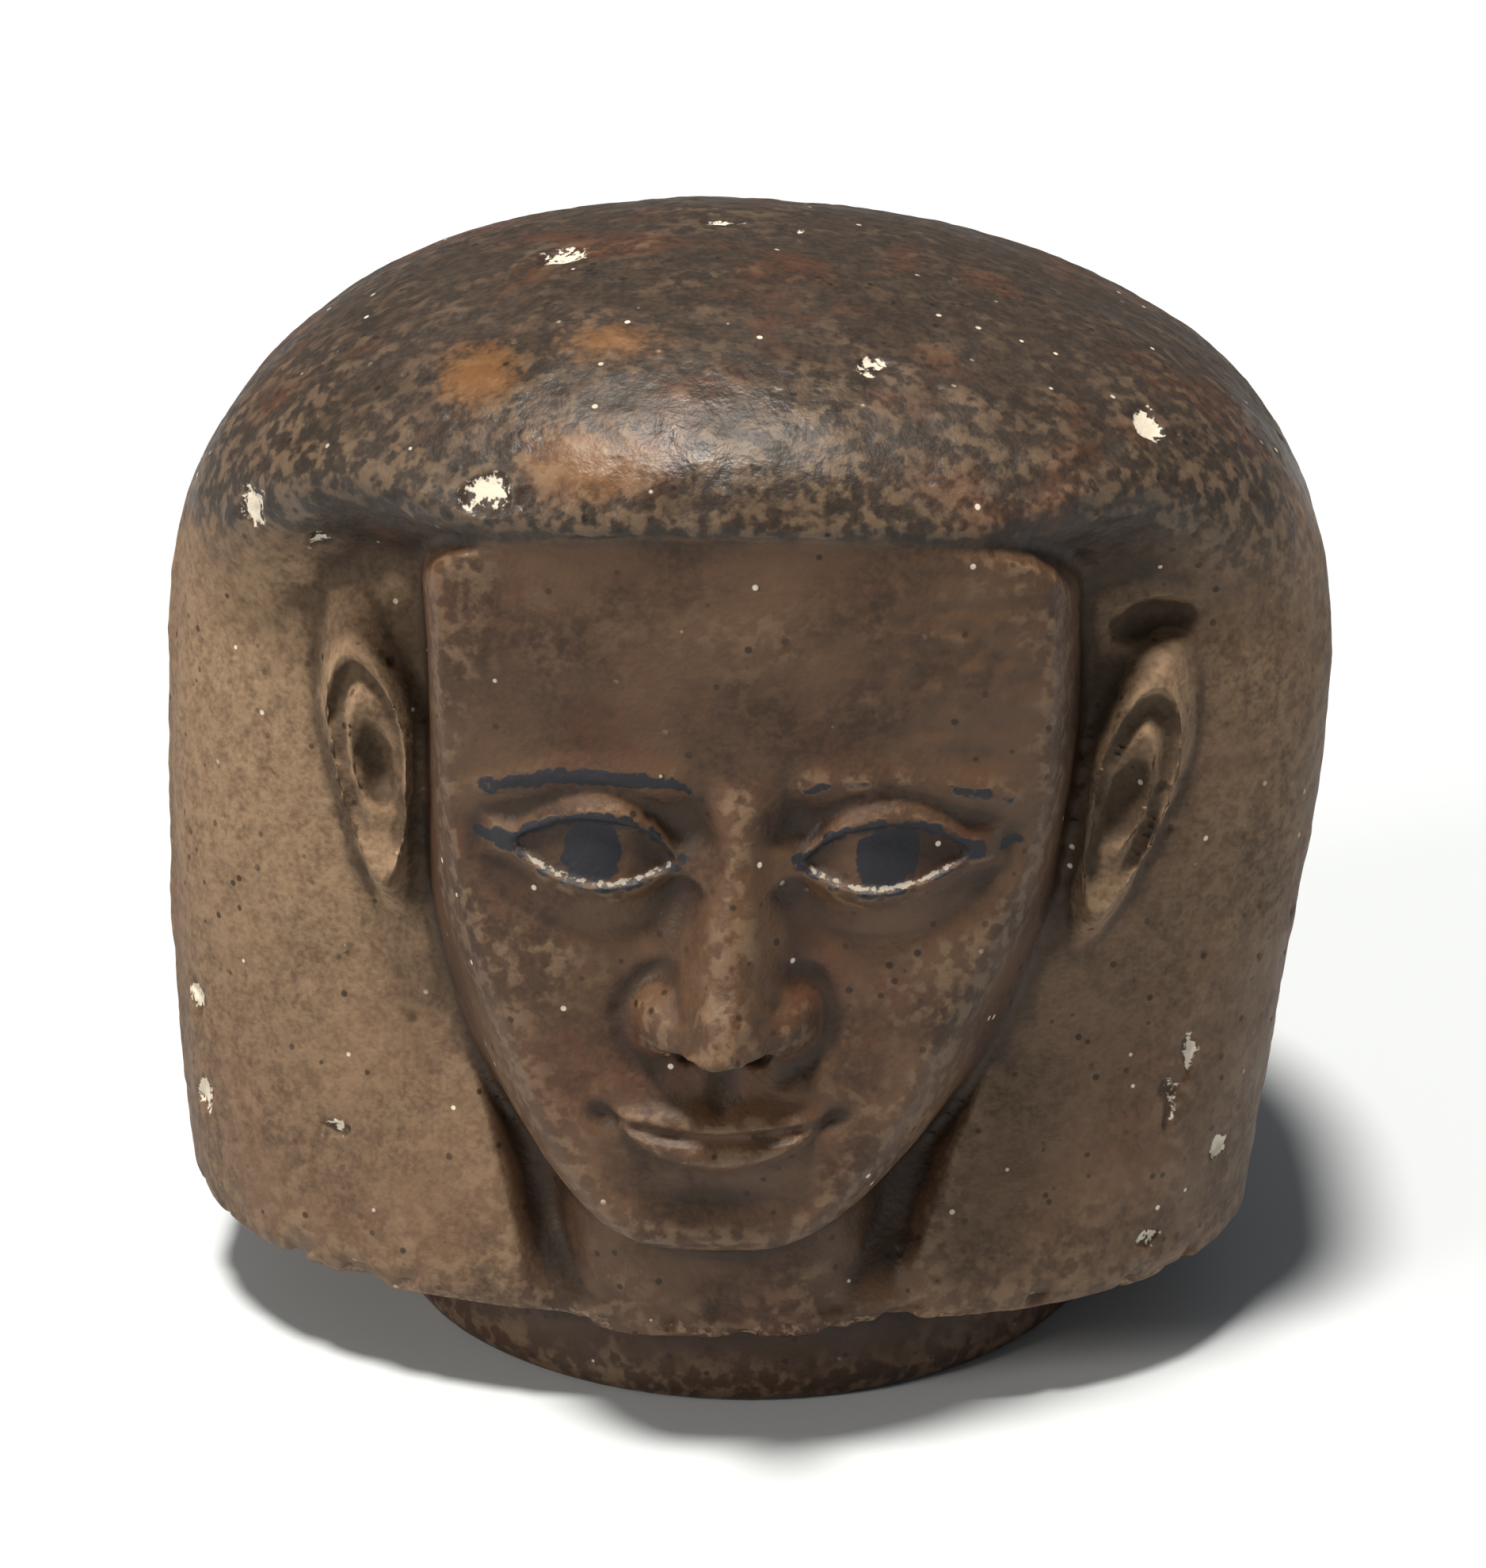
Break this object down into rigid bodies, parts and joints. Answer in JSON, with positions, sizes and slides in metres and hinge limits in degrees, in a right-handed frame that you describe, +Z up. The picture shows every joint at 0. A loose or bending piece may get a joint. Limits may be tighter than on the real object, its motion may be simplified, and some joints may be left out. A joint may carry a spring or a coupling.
{
  "type": "canopic jar lid",
  "caption": "Carved stone canopic jar lid in the form of a human head in a plain bag wig, with a round plug beneath that drops into the jar's mouth.",
  "frame": {"origin": "centre of the plug's flat underside, which is what the lid stands on", "axes": "+Z up, through the crown; -Y out of the face; +X to the viewer's right as the face is seen"},
  "size_m": [0.1419, 0.1343, 0.136],
  "materials": {
    "stained_limestone": "limestone under a worn dark brown resin coating: glossy in patches, dusty on the flats, pale at the chips"
  },
  "bodies": {
    "root": {"jar_lid": "stained_limestone"}
  },
  "joints": []
}
